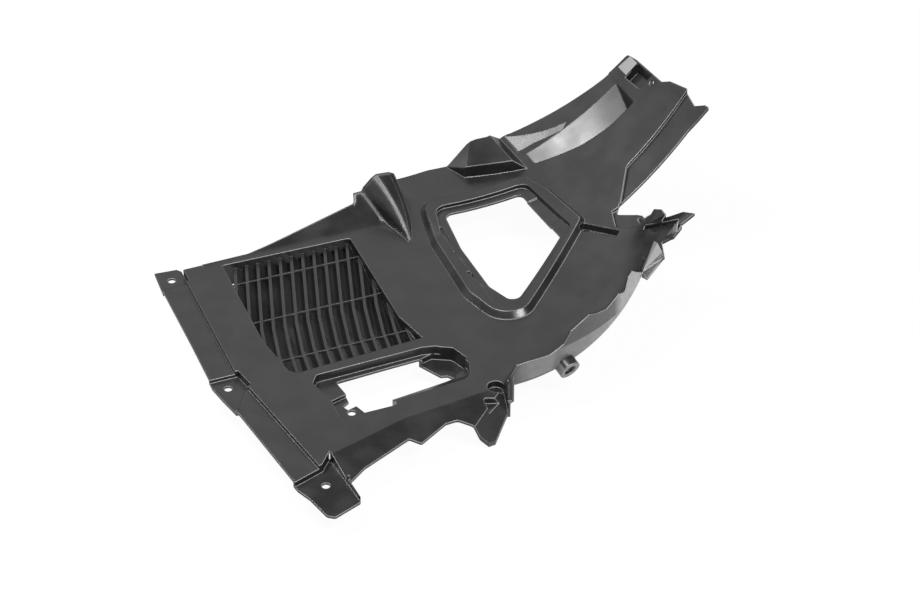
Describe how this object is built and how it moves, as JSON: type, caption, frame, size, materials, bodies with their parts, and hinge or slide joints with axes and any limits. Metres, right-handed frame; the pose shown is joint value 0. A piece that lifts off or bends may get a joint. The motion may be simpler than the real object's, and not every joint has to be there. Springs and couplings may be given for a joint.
{
  "type": "wheel arch liner, front section",
  "caption": "Moulded front section of a wheel arch liner with a louvred air outlet, a raised collar round a service opening and a rear arm.",
  "frame": {"origin": "centre of the middle fixing hole at the tab's upper face", "axes": "+Z is the draw direction, towards the wheel from the flat front panel; +X runs round the arch from the front fixing strip to the rear arm; +Y runs across the car from the wing side to the engine side"},
  "size_m": [0.589, 0.4985, 0.1773],
  "materials": {
    "moulding": "satin black moulded polypropylene with a fine grain, smoother on the back"
  },
  "bodies": {
    "root": {"liner": "moulding"}
  },
  "joints": []
}
